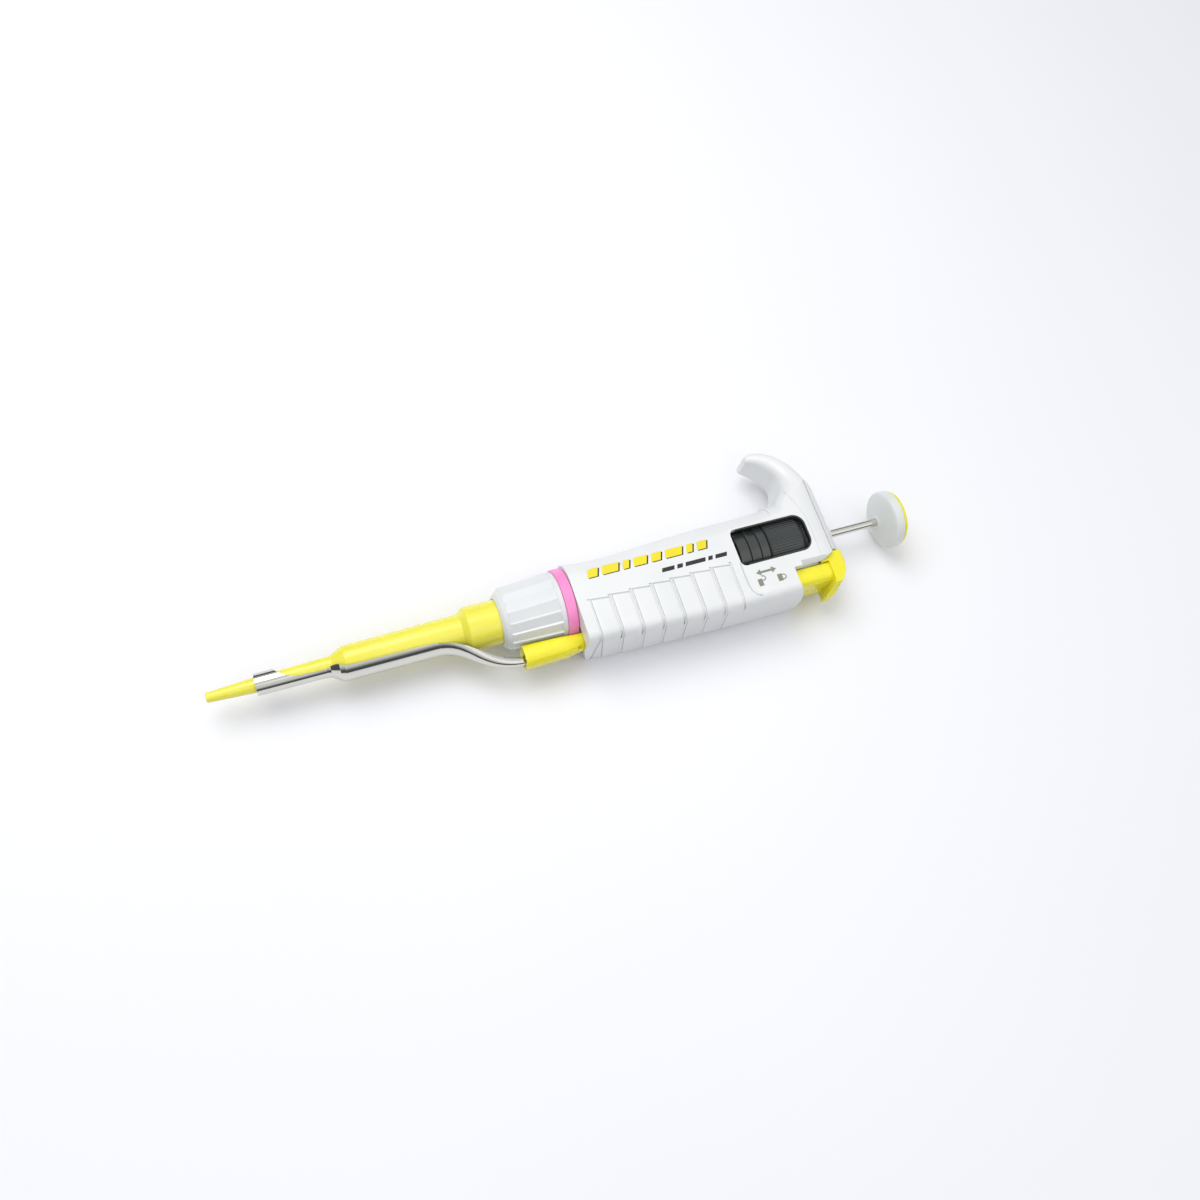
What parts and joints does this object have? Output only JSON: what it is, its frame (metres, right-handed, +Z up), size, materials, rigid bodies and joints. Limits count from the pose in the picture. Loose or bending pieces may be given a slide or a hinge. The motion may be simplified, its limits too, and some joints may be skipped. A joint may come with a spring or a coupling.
{
  "type": "adjustable pipette",
  "caption": "Adjustable air-displacement pipette with push button, thumbwheel volume setting, finger hook, tip ejector and slim nozzle.",
  "frame": {"origin": "centre of the outline in plan, on the floor that the side of the handle lies on", "axes": "+X from the nozzle to the push button, +Y towards the finger hook, +Z up through the side that carries the thumbwheel window"},
  "size_m": [0.24, 0.0571, 0.0242],
  "materials": {
    "handle_plastic": "satin",
    "nut_plastic": "satin",
    "button_plastic": "satin",
    "yellow_plastic": "semi-gloss",
    "pink_plastic": "satin",
    "black_plastic": "satin",
    "spring_steel": "drawn",
    "chrome": "polished",
    "drum_white": "satin",
    "clear_lens": "clear",
    "rubber": "matt",
    "brass": "machined",
    "seal_polymer": "satin"
  },
  "bodies": {
    "handle": {"handle_body": "handle_plastic", "top_cap": "handle_plastic", "window_rim": "black_plastic", "rod_bush": "button_plastic", "counter_frame": "black_plastic", "counter_lens": "clear_lens", "neck_sleeve": "handle_plastic", "barrel_nut": "nut_plastic", "colour_ring": "pink_plastic", "shaft": "yellow_plastic", "piston_seal": "seal_polymer", "seal_o_ring": "rubber", "seal_retainer": "chrome", "piston_spring": "spring_steel", "blowout_spring": "spring_steel", "ejector_spring": "spring_steel"},
    "plunger": {"piston": "chrome", "plunger_rod": "chrome", "stop_collar": "brass", "push_button": "button_plastic", "button_cap": "yellow_plastic"},
    "blowout": {"blowout_washer": "spring_steel"},
    "setting": {"thumbwheel": "black_plastic", "volume_screw": "chrome", "units_drum": "drum_white"},
    "tens": {"tens_drum": "drum_white"},
    "hundreds": {"hundreds_drum": "drum_white"},
    "stop": {"stop_nut": "seal_polymer"},
    "lock": {"lock_collar": "black_plastic"},
    "ejector": {"ejector_button": "yellow_plastic", "ejector_rod": "chrome", "ejector_holder": "yellow_plastic", "ejector_arm": "chrome"}
  },
  "joints": [
    {"name": "plunger_press", "type": "slide", "parent": "handle", "child": "plunger", "axis": [-1, 0, 0], "range_m": [0, 0.014], "stiffness_N_per_m": 180, "springref_m": -0.004, "deforming": ["piston_spring"]},
    {"name": "blowout_press", "type": "slide", "parent": "handle", "child": "blowout", "axis": [-1, 0, 0], "range_m": [0, 0.0028], "deforming": ["blowout_spring"]},
    {"name": "volume_turn", "type": "hinge", "parent": "handle", "child": "setting", "pos_m": [-0.12, -0.0056, 0.0121], "axis": [1, 0, 0], "range_deg": [0, 720]},
    {"name": "tens_turn", "type": "hinge", "parent": "handle", "child": "tens", "pos_m": [-0.12, -0.0056, 0.0121], "axis": [1, 0, 0], "range_deg": [0, 72]},
    {"name": "hundreds_turn", "type": "hinge", "parent": "handle", "child": "hundreds", "pos_m": [-0.12, -0.0056, 0.0121], "axis": [1, 0, 0], "range_deg": [0, 7.2]},
    {"name": "stop_travel", "type": "slide", "parent": "handle", "child": "stop", "axis": [-1, 0, 0], "range_m": [0, 0.004]},
    {"name": "lock_slide", "type": "slide", "parent": "handle", "child": "lock", "axis": [-1, 0, 0], "range_m": [0, 0.0018]},
    {"name": "ejector_press", "type": "slide", "parent": "handle", "child": "ejector", "axis": [-1, 0, 0], "range_m": [0, 0.0065], "stiffness_N_per_m": 350, "springref_m": -0.003, "deforming": ["ejector_spring"]}
  ],
  "couplings": [
    {"joint": "blowout_press", "follows": "plunger_press", "ratio": 0.2},
    {"joint": "tens_turn", "follows": "volume_turn", "ratio": 0.1},
    {"joint": "hundreds_turn", "follows": "volume_turn", "ratio": 0.01},
    {"joint": "stop_travel", "follows": "volume_turn", "m_per_rad": 0.00031831}
  ]
}
